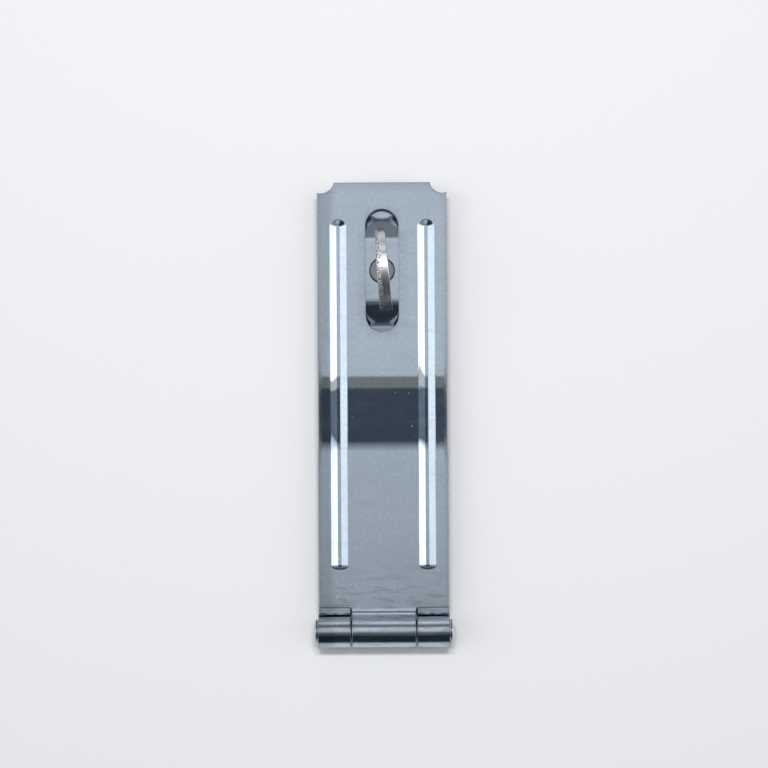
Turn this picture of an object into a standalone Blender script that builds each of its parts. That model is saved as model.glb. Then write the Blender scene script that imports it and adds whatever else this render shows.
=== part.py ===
"""Swivel safety hasp of zinc-plated sheet steel, closed, with its turning padlock eye.

z = 0 is the surface that the hasp is screwed to, and +Z points away from it. +Y runs from the hinge
to the staple, and +X runs along the hinge pin. The origin is the middle of the hinge leaf's four
screws, on the leaf's back.
"""

import math

import bmesh
import bpy
from mathutils import Vector

MM = 0.001
CLEARANCE = 0.3 * MM  # between pieces that touch on the real hasp
OVERLAP = 0.5 * MM  # how far a cutter passes a face, or a joined shape sinks into one
WELD = 0.001 * MM  # turned points this close are one point on the axis
SHEET = 1.8 * MM

# Hinge barrel, about the pin's axis
PIN_Y = -35.0 * MM
BARREL_RADIUS = 5.4 * MM
BORE_RADIUS = BARREL_RADIUS - SHEET
PIN_RADIUS = BORE_RADIUS - CLEARANCE
PIN_HEAD_RADIUS = 3.9 * MM
PIN_HEAD_HEIGHT = 1.1 * MM
STRAP_KNUCKLE = 21.0 * MM
LEAF_KNUCKLE = 10.7 * MM
KNUCKLE_GAP = 0.4 * MM
BARREL_LENGTH = STRAP_KNUCKLE + 2 * (KNUCKLE_GAP + LEAF_KNUCKLE)
STRAP_CURL_END = 345.0  # degrees round the pin where the strap's curl ends, from +Y towards +Z
LEAF_CURL_END = -28.0
RELIEF_RADIUS = 1.5 * MM  # inner corners of the cut-outs that clear the other piece's knuckles
PAST_BARREL = 2 * BARREL_RADIUS  # far enough from the pin's axis to be clear of the barrel

# Strap: lengths are from the pin's axis, heights are from it too
STRAP_WIDTH = 42.6 * MM
STRAP_REACH = 147.0 * MM
STRAP_TOP = 1.05 * MM
BEND_RADIUS = 3.3 * MM  # concave bend between the strap's outer face and its knuckle
NOTCH_RADIUS = 4.5 * MM
NOTCH_INSET = 1.2 * MM
NOTCH_BEYOND = 1.0 * MM
RIB_X = 14.4 * MM
RIB_START = 20.4 * MM
RIB_END = 135.0 * MM
RIB_HEIGHT = 1.0 * MM
RIB_FOOT_RADIUS = 2.75 * MM
RIB_CREST_RADIUS = 0.6 * MM
STAPLE_REACH = 118.1 * MM
SLOT_WIDTH = 10.8 * MM
SLOT_LENGTH = 40.0 * MM

# Hinge leaf
LEAF_REACH = 62.0 * MM
LEAF_RELIEF = 8.0 * MM
LEAF_CORNER = 3.0 * MM
LEAF_SCREW_X = 14.0 * MM
LEAF_SCREW_Y = 15.0 * MM

# Staple plate and its raised boss, about the staple's axis
STAPLE_Y = PIN_Y + STAPLE_REACH
PLATE_WIDTH = 40.5 * MM
PLATE_LENGTH = 48.0 * MM
PLATE_CORNER = 4.0 * MM
PLATE_SCREW_X = 14.5 * MM
PLATE_SCREW_Y = 18.5 * MM
BOSS_FOOT = (11.0 * MM, 17.7 * MM)  # half its size across and along, at the plate and at the top
BOSS_FLAT = (7.6 * MM, 10.5 * MM)
BOSS_CORNER = 4.0 * MM
BOSS_TOP = BARREL_RADIUS + STRAP_TOP - SHEET - 0.35 * MM
BOSS_STEPS = 5

# Turning staple
SHANK_RADIUS = 3.0 * MM
NECK_RADIUS = 4.3 * MM
EYE_UNDERSIDE = 7.1 * MM
EYE_RADIUS = 13.5 * MM
EYE_CENTRE = 13.1 * MM
EYE_THICKNESS = 4.2 * MM
EYE_FILLET = 2.2 * MM
EYE_EDGE_ROUND = 0.5 * MM
EYE_EDGE_ANGLE = 60.0  # only edges that turn more than this are rounded
EYE_HOLE_RADIUS = 5.5 * MM
EYE_HOLE_CENTRE = 16.6 * MM
EYE_TURN = 5.5  # degrees that the eye stands turned from the slot
WASHER_RADIUS = 6.5 * MM
WASHER_THICKNESS = 0.9 * MM
RIVET_RADIUS = 4.6 * MM
RIVET_THICKNESS = 0.7 * MM
RIVET_FACE_RADIUS = 3.7 * MM

# Flat-head wood screws
HEAD_RADIUS = 4.0 * MM
HEAD_LAND = 0.2 * MM
HEAD_SINK = 0.1 * MM  # depth of the head's top below the sheet's face
HEAD_HALF_ANGLE = 41.0
SCREW_LENGTH = 19.0 * MM
CORE_RADIUS = 1.5 * MM
THREAD_HEIGHT = 0.6 * MM
THREAD_PITCH = 1.7 * MM
THREAD_TURNS = 8
THREAD_STEPS = 12
TIP_TAPER = 4.0 * MM
TIP_LENGTH = 0.4 * MM
RECESS_DEPTH = 1.6 * MM
RECESS_REACH = 2.3 * MM
RECESS_FLOOR_REACH = 0.8 * MM
RECESS_WIDTH = 0.9 * MM
SCREW_TURN = 67.0  # degrees from where one screw stopped turning to where the next did

ROUND_STEPS = 32
HOLE_STEPS = 24
ARC_STEP = 15.0  # degrees of curl that one flat facet stands for
SHARP_ANGLE = 20.0  # an edge that turns more than this is drawn as an edge


def clear_scene():
    for obj in list(bpy.data.objects):
        bpy.data.objects.remove(obj)


def plated_steel(name, colour, roughness):
    material = bpy.data.materials.new(name)
    material.use_nodes = True
    shader = material.node_tree.nodes["Principled BSDF"]
    shader.inputs["Base Color"].default_value = (*colour, 1.0)
    shader.inputs["Metallic"].default_value = 1.0
    shader.inputs["Roughness"].default_value = roughness
    return material


def object_of(name, bm):
    bmesh.ops.recalc_face_normals(bm, faces=bm.faces)
    mesh = bpy.data.meshes.new(name)
    bm.to_mesh(mesh)
    bm.free()
    obj = bpy.data.objects.new(name, mesh)
    bpy.context.collection.objects.link(obj)
    return obj


def apply_modifiers(obj):
    graph = bpy.context.evaluated_depsgraph_get()
    mesh = bpy.data.meshes.new_from_object(obj.evaluated_get(graph))
    obj.modifiers.clear()
    obj.data = mesh


def combine(obj, tool, operation):
    """Cuts or joins one shape with another, which is then removed."""
    modifier = obj.modifiers.new(operation, "BOOLEAN")
    modifier.operation = operation
    modifier.object = tool
    apply_modifiers(obj)
    bpy.data.objects.remove(tool)


def cut(obj, *tools):
    for tool in tools:
        combine(obj, tool, "DIFFERENCE")


def join(obj, *tools):
    for tool in tools:
        combine(obj, tool, "UNION")


def finish(obj, material, location):
    obj.data.materials.clear()
    obj.data.materials.append(material)
    obj.data.shade_smooth()
    obj.data.set_sharp_from_angle(angle=math.radians(SHARP_ANGLE))
    obj.location = location
    return obj


def arc(centre, radius, start, end):
    """Points on a circle from one angle to another, in degrees, with both ends included."""
    steps = max(1, math.ceil(abs(end - start) / ARC_STEP))
    points = []
    for i in range(steps + 1):
        angle = math.radians(start + (end - start) * i / steps)
        points.append((centre[0] + radius * math.cos(angle), centre[1] + radius * math.sin(angle)))
    return points


def rounded_rectangle(x_low, x_high, y_low, y_high, radius):
    return (
        arc((x_high - radius, y_high - radius), radius, 0, 90)
        + arc((x_low + radius, y_high - radius), radius, 90, 180)
        + arc((x_low + radius, y_low + radius), radius, 180, 270)
        + arc((x_high - radius, y_low + radius), radius, 270, 360)
    )


def stadium(x, y_low, y_high, radius):
    """Outline of a long slot along Y whose round ends are centred at y_low and y_high."""
    return arc((x, y_high), radius, 0, 180) + arc((x, y_low), radius, 180, 360)


def prism_along_x(name, outline, width):
    """A solid with the same (y, z) outline over a width centred on x = 0."""
    bm = bmesh.new()
    face = bm.faces.new([bm.verts.new((-width / 2, y, z)) for y, z in outline])
    extrude(bm, face, (width, 0, 0))
    return object_of(name, bm)


def prism_along_z(name, outline, low, high):
    """A solid with the same (x, y) outline from one height to another."""
    bm = bmesh.new()
    face = bm.faces.new([bm.verts.new((x, y, low)) for x, y in outline])
    extrude(bm, face, (0, 0, high - low))
    return object_of(name, bm)


def extrude(bm, face, step):
    made = bmesh.ops.extrude_face_region(bm, geom=[face])["geom"]
    moved = [item for item in made if isinstance(item, bmesh.types.BMVert)]
    bmesh.ops.translate(bm, verts=moved, vec=step)


def loft(name, rings):
    """A solid through rings of (x, y, z) points, all with the same number of points."""
    bm = bmesh.new()
    loops = [[bm.verts.new(point) for point in ring] for ring in rings]
    for lower, upper in zip(loops, loops[1:]):
        for i in range(len(lower)):
            bm.faces.new((lower[i - 1], lower[i], upper[i], upper[i - 1]))
    bm.faces.new(loops[0])
    bm.faces.new(loops[-1])
    return object_of(name, bm)


def lathe(name, profile, steps=ROUND_STEPS):
    """A solid turned about Z from (radius, height) points.

    A profile that starts and ends on the axis makes a plug, and any other is a ring's closed section.
    """
    bm = bmesh.new()
    verts = [bm.verts.new((radius, 0, height)) for radius, height in profile]
    edges = [bm.edges.new(pair) for pair in zip(verts, verts[1:])]
    if profile[0][0] > 0:
        edges.append(bm.edges.new((verts[-1], verts[0])))
    bmesh.ops.spin(
        bm, geom=verts + edges, cent=(0, 0, 0), axis=(0, 0, 1), angle=math.tau, steps=steps, use_merge=True
    )
    bmesh.ops.remove_doubles(bm, verts=bm.verts, dist=WELD)
    return object_of(name, bm)


def moved(obj, x, y, z=0.0):
    """Shifts the shape itself, so that it can cut another shape where that one lies."""
    for vert in obj.data.vertices:
        vert.co += Vector((x, y, z))
    return obj


def rib(name, x, drop):
    """A long ridge with sloping sides and ends, drop below the place of the raised rib."""
    slope = (RIB_FOOT_RADIUS - RIB_CREST_RADIUS) / RIB_HEIGHT
    levels = ((-OVERLAP, RIB_FOOT_RADIUS + OVERLAP * slope), (RIB_HEIGHT, RIB_CREST_RADIUS))
    rings = []
    for height, radius in levels:
        outline = stadium(x, RIB_START + RIB_FOOT_RADIUS, RIB_END - RIB_FOOT_RADIUS, radius)
        rings.append([(u, v, STRAP_TOP + height - drop) for u, v in outline])
    return loft(name, rings)


def strap_side_outline():
    """The strap from the side, as (y, z) from the pin's axis: flat, then a bend, then the curl."""
    bend_z = STRAP_TOP + BEND_RADIUS
    bend_y = math.sqrt((BARREL_RADIUS + BEND_RADIUS) ** 2 - bend_z**2)
    meet = math.degrees(math.atan2(bend_z, bend_y))
    outer = [(STRAP_REACH, STRAP_TOP)]
    outer += arc((bend_y, bend_z), BEND_RADIUS, -90, meet - 180)
    outer += arc((0, 0), BARREL_RADIUS, meet, STRAP_CURL_END)[1:]
    inner = arc((0, 0), BORE_RADIUS, STRAP_CURL_END, meet)
    inner += arc((bend_y, bend_z), BEND_RADIUS + SHEET, meet - 180, -90)[1:]
    inner += [(STRAP_REACH, STRAP_TOP - SHEET)]
    return outer + inner, bend_y


def make_strap(material):
    outline, bend_y = strap_side_outline()
    strap = prism_along_x("strap", outline, STRAP_WIDTH)
    above = STRAP_TOP + BARREL_RADIUS + OVERLAP
    for side in (-1, 1):
        xs = sorted((side * STRAP_KNUCKLE / 2, side * STRAP_WIDTH))
        clear = rounded_rectangle(*xs, -PAST_BARREL, bend_y, RELIEF_RADIUS)
        cut(strap, prism_along_z("clear_of_leaf_knuckle", clear, -above, above))
    for side in (-1, 1):
        join(strap, rib("rib", side * RIB_X, 0))
        cut(strap, rib("rib_hollow", side * RIB_X, SHEET))
        centre = (side * (STRAP_WIDTH / 2 - NOTCH_INSET), STRAP_REACH + NOTCH_BEYOND)
        notch = arc(centre, NOTCH_RADIUS, 0, 360)[:-1]
        cut(strap, prism_along_z("corner_notch", notch, -above, above))
    half_straight = (SLOT_LENGTH - SLOT_WIDTH) / 2
    slot = stadium(0, STAPLE_REACH - half_straight, STAPLE_REACH + half_straight, SLOT_WIDTH / 2)
    cut(strap, prism_along_z("slot", slot, -above, above))
    return finish(strap, material, (0, PIN_Y, BARREL_RADIUS))


def countersink():
    """A cutter for one screw's seat in a sheet that lies on z = 0, a clearance wider than the screw."""
    slope = math.tan(math.radians(HEAD_HALF_ANGLE))
    cone_top = SHEET - HEAD_SINK - HEAD_LAND
    wide = HEAD_RADIUS + CLEARANCE
    narrow = wide - (cone_top + OVERLAP) * slope
    profile = (
        (0, SHEET + OVERLAP),
        (wide, SHEET + OVERLAP),
        (wide, cone_top),
        (narrow, -OVERLAP),
        (0, -OVERLAP),
    )
    return lathe("screw_seat", profile, HOLE_STEPS)


def make_hinge_leaf(material):
    top = SHEET - BARREL_RADIUS
    outline = [(LEAF_REACH, -BARREL_RADIUS)]
    outline += arc((0, 0), BARREL_RADIUS, 270, LEAF_CURL_END)
    outline += arc((0, 0), BORE_RADIUS, LEAF_CURL_END, 270)
    outline += [(LEAF_REACH, top)]
    leaf = prism_along_x("hinge_leaf", outline, BARREL_LENGTH)
    half = STRAP_KNUCKLE / 2 + KNUCKLE_GAP
    clear = rounded_rectangle(-half, half, -PAST_BARREL, LEAF_RELIEF, RELIEF_RADIUS)
    cut(leaf, prism_along_z("clear_of_strap_knuckle", clear, -PAST_BARREL, PAST_BARREL))
    side = BARREL_LENGTH / 2 + OVERLAP
    keep = rounded_rectangle(-side, side, -PAST_BARREL, LEAF_REACH, LEAF_CORNER)
    combine(leaf, prism_along_z("rounded_end", keep, -PAST_BARREL, PAST_BARREL), "INTERSECT")
    for x in (-LEAF_SCREW_X, LEAF_SCREW_X):
        for y in (-LEAF_SCREW_Y, LEAF_SCREW_Y):
            cut(leaf, moved(countersink(), x, y - PIN_Y, -BARREL_RADIUS))
    return finish(leaf, material, (0, PIN_Y, BARREL_RADIUS))


def make_hinge_pin(material):
    """A plain pin along X whose two ends are hammered into domes outside the barrel."""
    seat = BARREL_LENGTH / 2 + CLEARANCE
    dome = arc((0, 0), 1, 0, 90)
    half = [(PIN_RADIUS, seat)]
    half += [(PIN_HEAD_RADIUS * radius, seat + PIN_HEAD_HEIGHT * height) for radius, height in dome[:-1]]
    half += [(0, seat + PIN_HEAD_HEIGHT)]
    other = [(radius, -height) for radius, height in reversed(half)]
    pin = lathe("hinge_pin", other + half)
    pin.rotation_euler = (0, math.radians(90), 0)
    return finish(pin, material, (0, PIN_Y, BARREL_RADIUS))


def boss(name, drop):
    """The boss, or the hollow a sheet's thickness below it: a flat top on flanks that sweep out in an S."""
    base = SHEET - OVERLAP if drop == 0 else -OVERLAP
    rings = []
    for step in range(BOSS_STEPS + 2):
        share = min(step / BOSS_STEPS, 1.0)
        half = [flat + (foot - flat) * share for flat, foot in zip(BOSS_FLAT, BOSS_FOOT)]
        height = SHEET + (BOSS_TOP - SHEET) * (1 + math.cos(math.pi * share)) / 2 - drop
        if step > BOSS_STEPS:
            height = base
        outline = rounded_rectangle(-half[0], half[0], -half[1], half[1], BOSS_CORNER)
        rings.append([(x, y, height) for x, y in outline])
    return loft(name, rings)


def make_staple_plate(material):
    outline = rounded_rectangle(
        -PLATE_WIDTH / 2, PLATE_WIDTH / 2, -PLATE_LENGTH / 2, PLATE_LENGTH / 2, PLATE_CORNER
    )
    plate = prism_along_z("staple_plate", outline, 0, SHEET)
    join(plate, boss("boss", 0))
    cut(plate, boss("boss_hollow", SHEET))
    bore = SHANK_RADIUS + CLEARANCE
    above = BOSS_TOP + OVERLAP
    cut(plate, lathe("shank_hole", [(0, above), (bore, above), (bore, 0), (0, 0)]))
    for x in (-PLATE_SCREW_X, PLATE_SCREW_X):
        for y in (-PLATE_SCREW_Y, PLATE_SCREW_Y):
            cut(plate, moved(countersink(), x, y))
    return finish(plate, material, (0, STAPLE_Y, 0))


def eye_side_outline():
    """The padlock eye seen flat on, as (y, z): most of a disc, cut off level, with rounded low corners."""
    drop = EYE_CENTRE - EYE_UNDERSIDE - EYE_FILLET
    fillet_y = math.sqrt((EYE_RADIUS - EYE_FILLET) ** 2 - drop**2)
    meet = math.degrees(math.atan2(-drop, fillet_y))
    corner_z = EYE_CENTRE - drop
    return (
        arc((fillet_y, corner_z), EYE_FILLET, -90, meet)
        + arc((0, EYE_CENTRE), EYE_RADIUS, meet, 180 - meet)[1:-1]
        + arc((-fillet_y, corner_z), EYE_FILLET, 180 - meet, 270)
    )


def make_swivel_staple(material):
    staple = prism_along_x("swivel_staple", eye_side_outline(), EYE_THICKNESS)
    bar = (
        (0, EYE_THICKNESS),
        (EYE_HOLE_RADIUS, EYE_THICKNESS),
        (EYE_HOLE_RADIUS, -EYE_THICKNESS),
        (0, -EYE_THICKNESS),
    )
    hole = lathe("eye_hole", bar, HOLE_STEPS)
    for vert in hole.data.vertices:
        vert.co = (vert.co.z, vert.co.y, EYE_HOLE_CENTRE - vert.co.x)
    cut(staple, hole)
    rounding = staple.modifiers.new("edge_round", "BEVEL")
    rounding.width = EYE_EDGE_ROUND
    rounding.segments = 1
    rounding.angle_limit = math.radians(EYE_EDGE_ANGLE)
    apply_modifiers(staple)
    shoulder = BOSS_TOP + CLEARANCE
    washer_top = BOSS_TOP - SHEET - CLEARANCE
    rivet_top = washer_top - WASHER_THICKNESS - CLEARANCE
    profile = (
        (0, EYE_UNDERSIDE + OVERLAP),
        (NECK_RADIUS, EYE_UNDERSIDE + OVERLAP),
        (NECK_RADIUS, shoulder),
        (SHANK_RADIUS, shoulder),
        (SHANK_RADIUS, rivet_top),
        (RIVET_RADIUS, rivet_top),
        (RIVET_RADIUS, rivet_top - RIVET_THICKNESS / 2),
        (RIVET_FACE_RADIUS, rivet_top - RIVET_THICKNESS),
        (0, rivet_top - RIVET_THICKNESS),
    )
    join(staple, lathe("neck_and_shank", profile))
    staple.rotation_euler = (0, 0, math.radians(EYE_TURN))
    return finish(staple, material, (0, STAPLE_Y, 0))


def make_staple_washer(material):
    bore = SHANK_RADIUS + CLEARANCE
    top = BOSS_TOP - SHEET - CLEARANCE
    bottom = top - WASHER_THICKNESS
    section = ((bore, top), (WASHER_RADIUS, top), (WASHER_RADIUS, bottom), (bore, bottom))
    return finish(lathe("staple_washer", section), material, (0, STAPLE_Y, 0))


def core_radius(depth):
    """Radius of the screw's core, which narrows to nothing at its point."""
    return CORE_RADIUS * min(1.0, (SCREW_LENGTH - depth) / TIP_TAPER)


def thread_point(bm, step, is_crest):
    """A point of the thread's root or crest helix, this many steps down from the thread's start."""
    turns = step / THREAD_STEPS + (0.5 if is_crest else 0.0)
    depth = SCREW_LENGTH - TIP_LENGTH - THREAD_PITCH * (THREAD_TURNS - turns)
    radius = core_radius(depth)
    if is_crest:
        radius += THREAD_HEIGHT * min(1.0, step / THREAD_STEPS, (SCREW_LENGTH - depth) / TIP_TAPER)
    angle = math.tau * step / THREAD_STEPS
    return bm.verts.new((radius * math.cos(angle), radius * math.sin(angle), -depth))


def make_screw_mesh():
    """A flat-head screw that points down from its head's top at z = 0, with a helical thread."""
    bm = bmesh.new()
    cone = (HEAD_RADIUS - CORE_RADIUS) / math.tan(math.radians(HEAD_HALF_ANGLE))
    rings = []
    for radius, depth in ((HEAD_RADIUS, 0), (HEAD_RADIUS, HEAD_LAND), (CORE_RADIUS, HEAD_LAND + cone)):
        angles = [math.tau * i / THREAD_STEPS for i in range(THREAD_STEPS)]
        rings.append([bm.verts.new((radius * math.cos(a), radius * math.sin(a), -depth)) for a in angles])
    bm.faces.new(rings[0])
    for upper, lower in zip(rings, rings[1:]):
        for i in range(THREAD_STEPS):
            bm.faces.new((upper[i - 1], upper[i], lower[i], lower[i - 1]))
    last = THREAD_TURNS * THREAD_STEPS
    root = [thread_point(bm, step, False) for step in range(last + 1)]
    crest = [thread_point(bm, step, True) for step in range(last - THREAD_STEPS + 1)]
    shank = rings[-1]
    for i in range(THREAD_STEPS - 1):
        bm.faces.new((shank[i], shank[i + 1], root[i + 1], root[i]))
    # the first turn ends one pitch below where it began, and this face takes up the step
    bm.faces.new((shank[-1], shank[0], root[0], crest[0], root[THREAD_STEPS], root[THREAD_STEPS - 1]))
    for i in range(last - THREAD_STEPS):
        below = i + THREAD_STEPS
        bm.faces.new((root[i], root[i + 1], crest[i + 1], crest[i]))
        bm.faces.new((crest[i], crest[i + 1], root[below + 1], root[below]))
    tip = bm.verts.new((0, 0, -SCREW_LENGTH))
    rim = root[last - THREAD_STEPS:] + [crest[-1]]
    for i in range(len(rim)):
        bm.faces.new((rim[i - 1], rim[i], tip))
    screw = object_of("screw", bm)
    for across in (False, True):
        cut(screw, recess_blade(across))
    mesh = screw.data
    bpy.data.objects.remove(screw)
    return mesh


def recess_blade(across):
    """One of the two crossed, tapering blades that shape the driver recess."""
    outline = [
        (-RECESS_REACH, OVERLAP),
        (RECESS_REACH, OVERLAP),
        (RECESS_FLOOR_REACH, -RECESS_DEPTH),
        (-RECESS_FLOOR_REACH, -RECESS_DEPTH),
    ]
    blade = prism_along_x("recess_blade", outline, RECESS_WIDTH)
    if across:
        for vert in blade.data.vertices:
            vert.co = (vert.co.y, -vert.co.x, vert.co.z)
    return blade


def place_screws(prefix, mesh, material, centre_y, spread_x, spread_y):
    """Four screws at the corners of a rectangle, each stopped at its own angle."""
    corners = ((-1, -1), (1, -1), (-1, 1), (1, 1))
    for number, (side_x, side_y) in enumerate(corners, start=1):
        screw = bpy.data.objects.new(f"{prefix}_{number}", mesh)
        bpy.context.collection.objects.link(screw)
        screw.rotation_euler = (0, 0, math.radians(SCREW_TURN * number))
        finish(screw, material, (side_x * spread_x, centre_y + side_y * spread_y, SHEET - HEAD_SINK))


def main():
    clear_scene()
    sheet = plated_steel("zinc_plated_sheet", (0.60, 0.65, 0.70), 0.22)
    rivet = plated_steel("zinc_plated_pin", (0.50, 0.54, 0.59), 0.30)
    eye = plated_steel("zinc_plated_eye", (0.66, 0.69, 0.72), 0.26)
    fastener = plated_steel("zinc_plated_screw", (0.62, 0.64, 0.66), 0.34)
    make_strap(sheet)
    make_hinge_leaf(sheet)
    make_hinge_pin(rivet)
    make_staple_plate(sheet)
    make_swivel_staple(eye)
    make_staple_washer(rivet)
    screw = make_screw_mesh()
    place_screws("leaf_screw", screw, fastener, 0, LEAF_SCREW_X, LEAF_SCREW_Y)
    place_screws("plate_screw", screw, fastener, STAPLE_Y, PLATE_SCREW_X, PLATE_SCREW_Y)


main()
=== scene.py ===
"""The looks of the hasp and staple: plated-steel pieces with fine surfaces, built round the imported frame.

Shapes are worked out in millimetres and become metres when their mesh is made. +Z points away from
the door, +Y runs from the hinge to the staple, and +X runs along the hinge pin.
"""

import math

import bmesh
import bpy
import numpy as np
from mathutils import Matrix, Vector, noise
from mathutils.geometry import delaunay_2d_cdt


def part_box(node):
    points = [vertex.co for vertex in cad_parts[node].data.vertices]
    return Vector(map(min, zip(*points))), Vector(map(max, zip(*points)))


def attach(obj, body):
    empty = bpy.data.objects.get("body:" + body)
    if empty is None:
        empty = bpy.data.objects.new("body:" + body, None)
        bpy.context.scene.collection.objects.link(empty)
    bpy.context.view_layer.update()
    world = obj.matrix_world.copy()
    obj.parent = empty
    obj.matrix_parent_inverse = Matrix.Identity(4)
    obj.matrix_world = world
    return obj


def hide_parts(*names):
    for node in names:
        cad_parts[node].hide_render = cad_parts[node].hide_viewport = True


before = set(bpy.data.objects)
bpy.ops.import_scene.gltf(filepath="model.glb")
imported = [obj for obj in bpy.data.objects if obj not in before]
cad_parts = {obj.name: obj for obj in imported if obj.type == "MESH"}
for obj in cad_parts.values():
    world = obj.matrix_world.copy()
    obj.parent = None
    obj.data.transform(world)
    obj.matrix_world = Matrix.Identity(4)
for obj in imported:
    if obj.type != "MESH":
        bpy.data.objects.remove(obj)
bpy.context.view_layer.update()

MM = 0.001


def box_mm(node):
    """A node's lowest and highest corners in millimetres."""
    low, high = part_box(node)
    return np.array(low) / MM, np.array(high) / MM


STRAP_LOW, STRAP_HIGH = box_mm("strap")
LEAF_LOW, LEAF_HIGH = box_mm("hinge_leaf")
PIN_LOW, PIN_HIGH = box_mm("hinge_pin")
PLATE_LOW, PLATE_HIGH = box_mm("staple_plate")
WASHER_LOW, WASHER_HIGH = box_mm("staple_washer")
EYE_LOW, EYE_HIGH = box_mm("swivel_staple")
SCREW_LOW, SCREW_HIGH = box_mm("leaf_screw_1")

SHEET = 1.8
SKIN = 0.02  # how far a fine surface stays inside the coarse one, so that it never sticks out

# Hinge
PIN_Y = (PIN_LOW[1] + PIN_HIGH[1]) / 2
PIN_Z = (PIN_LOW[2] + PIN_HIGH[2]) / 2
CURL_RADIUS = PIN_Z - SHEET / 2  # to the middle of the sheet
PIN_RADIUS = PIN_Z - SHEET - 0.3
PIN_HEAD_RADIUS = (PIN_HIGH[2] - PIN_LOW[2]) / 2
KNUCKLE_HALF = 10.5
KNUCKLE_GAP = 0.4
RELIEF_RADIUS = 0.8

# Strap, in its unrolled length from where it starts to bend towards the hinge
STRAP_TOP = 1.05  # above the pin's axis
BEND_RADIUS = 3.3 + SHEET / 2
BEND_Z = STRAP_TOP - SHEET / 2 + BEND_RADIUS
BEND_Y = math.sqrt((CURL_RADIUS + BEND_RADIUS) ** 2 - BEND_Z**2)
BEND_ANGLE = math.acos(BEND_Z / (CURL_RADIUS + BEND_RADIUS))
STRAP_CURL = math.radians(345) - (math.pi / 2 - BEND_ANGLE)
STRAP_HALF = STRAP_HIGH[0] - SKIN
STRAP_END = STRAP_HIGH[1] - SKIN - PIN_Y - BEND_Y
NOTCH_RADIUS = 4.5
NOTCH_X = STRAP_HALF - 1.2
RIB_X = 14.4
RIB_HEIGHT = 1.0
RIB_FOOT = 2.75
RIB_CREST = 0.6
RIB_BLUNT = 2.2  # how much steeper the end at the hinge is
RIB_LOW = 20.4 + RIB_FOOT / RIB_BLUNT - BEND_Y
RIB_HIGH = 135.0 - RIB_FOOT - BEND_Y
RIB_BLEND = 0.16  # share of the flank over which it rounds into the flat and into the crest
RIB_WAVER = 0.06
SLOT_HALF = 5.4
SLOT_LENGTH = 40.0

# Leaf
LEAF_HALF = LEAF_HIGH[0] - SKIN
LEAF_CURL = math.radians(298)
LEAF_END = LEAF_HIGH[1] - SKIN - PIN_Y
LEAF_RELIEF = 8.0
LEAF_CORNER = 3.0
LEAF_SCREWS = (14.0, 15.0)
SEAT_RADIUS = 4.3
SEAT_BOTTOM = 3.0

# Staple plate and staple
STAPLE_Y = (WASHER_LOW[1] + WASHER_HIGH[1]) / 2
PLATE_HALF = (PLATE_HIGH - PLATE_LOW)[:2] / 2 - SKIN
PLATE_CORNER = 4.0
PLATE_SCREWS = (14.5, 18.5)
BOSS_TOP = PLATE_HIGH[2]
BOSS_FOOT = np.array((11.0, 17.7))  # half its size across and along
BOSS_FLAT = np.array((7.6, 10.5))
BOSS_CORNERS = (2.0, 4.0)  # at the flat top and at the foot
BOSS_BLEND = 0.15
SHANK_RADIUS = 3.0
SHANK_HOLE = 3.3
NECK_RADIUS = 4.3
EYE_UNDERSIDE = 7.1
EYE_RADIUS = 13.5 - SKIN
EYE_CENTRE = EYE_HIGH[2] - 13.5
EYE_THICKNESS = 4.2
EYE_FILLET = 2.2
EYE_TAPER = 0.9
EYE_HOLE_RADIUS = 5.5
EYE_HOLE_CENTRE = 16.6
EYE_TURN = math.radians(5.5)
RIVET_RADIUS = 4.6

# Screws
HEAD_LAND = 0.2
HEAD_SLOPE = math.tan(math.radians(41))
CORE_RADIUS = 1.5
THREAD_HEIGHT = 0.6
THREAD_PITCH = 1.7
THREAD_TURNS = 8
TIP_TAPER = 4.0
RECESS_DEPTH = 1.6
RECESS_REACH = 2.3
RECESS_FLOOR_REACH = 0.8
RECESS_WIDTH = 0.9
RECESS_TAPER = 0.7
SCREW_TURN = 67  # degrees from where one screw stopped turning to where the next did

# Edges and mesh density
ROLL_OVER = 0.16  # the face that the punch pressed on rounds over this far
BURR = 0.10
HOLE_EDGE = 0.12
STEP = 0.5  # between points along an edge
RINGS = (0.03, 0.08, 0.16, 0.30, 0.38)  # distances of the rows of points beside an edge
EDGE_WANDER = 0.05
SEGMENTS = 96
WELD = 0.002  # slivers narrower than this are closed up after a Boolean


# Outlines

def circle(x, y, radius, start=0.0, end=360.0, step=STEP):
    """Points on a circle from one angle to another, in degrees, without the last one."""
    sweep = math.radians(end - start)
    count = max(2, math.ceil(abs(sweep) * radius / step))
    angles = math.radians(start) + sweep * np.arange(count) / count
    return np.column_stack((x + radius * np.cos(angles), y + radius * np.sin(angles)))


def dense(points, spacing=STEP):
    """The same closed outline with extra points, so that no side is longer than spacing."""
    points = np.asarray(points, float)
    rows = []
    for start, end in zip(points, np.roll(points, -1, axis=0)):
        count = max(1, math.ceil(np.linalg.norm(end - start) / spacing - 1e-6))
        rows.append(start + (end - start) * np.arange(count)[:, None] / count)
    return np.vstack(rows)


def inward(loop):
    """Unit vectors to the left of a closed outline, which is the side that has material."""
    ahead = np.roll(loop, -1, axis=0) - np.roll(loop, 1, axis=0)
    left = np.column_stack((-ahead[:, 1], ahead[:, 0]))
    return left / np.linalg.norm(left, axis=1)[:, None]


def wander(loop, seed, depth=EDGE_WANDER):
    """The outline as a punch blunted by long use would leave it: never outside the true one."""
    shift = [0.5 + 0.5 * noise.noise(Vector((x * 0.45, y * 0.45, seed))) for x, y in loop]
    shift = np.array(shift) + [0.3 * noise.noise(Vector((x * 2.1, y * 2.1, seed))) for x, y in loop]
    return loop + inward(loop) * np.clip(shift, 0, 1)[:, None] * depth


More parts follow.
